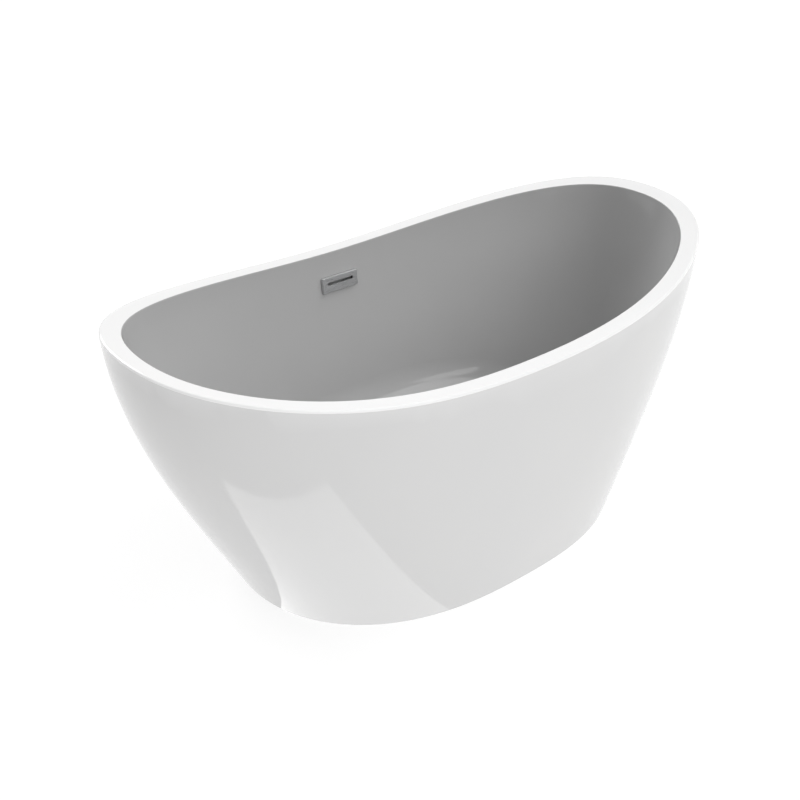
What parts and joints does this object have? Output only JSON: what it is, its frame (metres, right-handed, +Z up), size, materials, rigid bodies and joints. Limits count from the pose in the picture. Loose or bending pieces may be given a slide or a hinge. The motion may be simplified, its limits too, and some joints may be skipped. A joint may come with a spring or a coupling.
{
  "type": "freestanding bathtub",
  "caption": "Oval double-slipper bath with a wave-shaped rim, tapering skirt, slotted overflow, central push-to-open waste and levelling feet.",
  "frame": {"origin": "on the floor, under the centre of the bath, midway along its length and width", "axes": "+X along the bath, +Y towards the long wall that holds the overflow, +Z up"},
  "size_m": [1.5001, 0.794, 0.6828],
  "materials": {
    "acrylic": "gloss white",
    "glass_fibre": "rough laminate",
    "plywood": "raw",
    "galvanised_steel": "galvanised",
    "zinc_fasteners": "zinc plated",
    "black_plastic": "moulded",
    "seal_rubber": "matt",
    "waste_plastic": "moulded",
    "hose_plastic": "flexible",
    "satin_chrome": "satin chrome",
    "polished_chrome": "polished",
    "polished_brass": "machined"
  },
  "bodies": {
    "root": {"basin": "acrylic", "basin_reinforcement": "glass_fibre", "skirt": "acrylic", "skirt_reinforcement": "glass_fibre", "base_board": "plywood", "frame_rail_left": "galvanised_steel", "frame_rail_right": "galvanised_steel", "cross_member_1": "galvanised_steel", "cross_member_2": "galvanised_steel", "tube_end_caps": "black_plastic", "frame_screws": "zinc_fasteners", "foot_1_nut": "zinc_fasteners", "foot_1_locknut": "zinc_fasteners", "foot_2_nut": "zinc_fasteners", "foot_2_locknut": "zinc_fasteners", "foot_3_nut": "zinc_fasteners", "foot_3_locknut": "zinc_fasteners", "foot_4_nut": "zinc_fasteners", "foot_4_locknut": "zinc_fasteners", "overflow_faceplate": "satin_chrome", "overflow_gasket": "seal_rubber", "overflow_rear_gasket": "seal_rubber", "overflow_body": "waste_plastic", "overflow_screws": "zinc_fasteners", "overflow_hose": "hose_plastic", "overflow_hose_clip_top": "zinc_fasteners", "overflow_hose_clip_bottom": "zinc_fasteners", "drain_flange": "polished_chrome", "drain_gasket": "seal_rubber", "drain_rear_gasket": "seal_rubber", "waste_body": "waste_plastic", "waste_nut": "waste_plastic", "waste_washer": "seal_rubber", "tailpiece": "waste_plastic"},
    "stopper": {"stopper_cap": "polished_chrome", "stopper_seal": "seal_rubber", "stopper_plunger": "polished_brass"},
    "foot_1_pad": {"foot_1_pad": "black_plastic"},
    "foot_1_stud": {"foot_1_stud": "zinc_fasteners"},
    "foot_2_pad": {"foot_2_pad": "black_plastic"},
    "foot_2_stud": {"foot_2_stud": "zinc_fasteners"},
    "foot_3_pad": {"foot_3_pad": "black_plastic"},
    "foot_3_stud": {"foot_3_stud": "zinc_fasteners"},
    "foot_4_pad": {"foot_4_pad": "black_plastic"},
    "foot_4_stud": {"foot_4_stud": "zinc_fasteners"}
  },
  "joints": [
    {"name": "stopper_lift", "type": "slide", "parent": "root", "child": "stopper", "axis": [0, 0, 1], "range_m": [0, 0.01]},
    {"name": "foot_1_height", "type": "slide", "parent": "root", "child": "foot_1_pad", "axis": [0, 0, -1], "range_m": [-0.004, 0.016]},
    {"name": "foot_1_turn", "type": "hinge", "parent": "foot_1_pad", "child": "foot_1_stud", "pos_m": [-0.33, -0.21, 0.02], "axis": [0, 0, -1], "range_deg": [-823, 3292]},
    {"name": "foot_2_height", "type": "slide", "parent": "root", "child": "foot_2_pad", "axis": [0, 0, -1], "range_m": [-0.004, 0.016]},
    {"name": "foot_2_turn", "type": "hinge", "parent": "foot_2_pad", "child": "foot_2_stud", "pos_m": [0.33, -0.21, 0.02], "axis": [0, 0, -1], "range_deg": [-823, 3292]},
    {"name": "foot_3_height", "type": "slide", "parent": "root", "child": "foot_3_pad", "axis": [0, 0, -1], "range_m": [-0.004, 0.016]},
    {"name": "foot_3_turn", "type": "hinge", "parent": "foot_3_pad", "child": "foot_3_stud", "pos_m": [0.33, 0.21, 0.02], "axis": [0, 0, -1], "range_deg": [-823, 3292]},
    {"name": "foot_4_height", "type": "slide", "parent": "root", "child": "foot_4_pad", "axis": [0, 0, -1], "range_m": [-0.004, 0.016]},
    {"name": "foot_4_turn", "type": "hinge", "parent": "foot_4_pad", "child": "foot_4_stud", "pos_m": [-0.33, 0.21, 0.02], "axis": [0, 0, -1], "range_deg": [-823, 3292]}
  ],
  "couplings": [
    {"joint": "foot_1_turn", "follows": "foot_1_height", "rad_per_m": 3590.4},
    {"joint": "foot_2_turn", "follows": "foot_2_height", "rad_per_m": 3590.4},
    {"joint": "foot_3_turn", "follows": "foot_3_height", "rad_per_m": 3590.4},
    {"joint": "foot_4_turn", "follows": "foot_4_height", "rad_per_m": 3590.4}
  ]
}
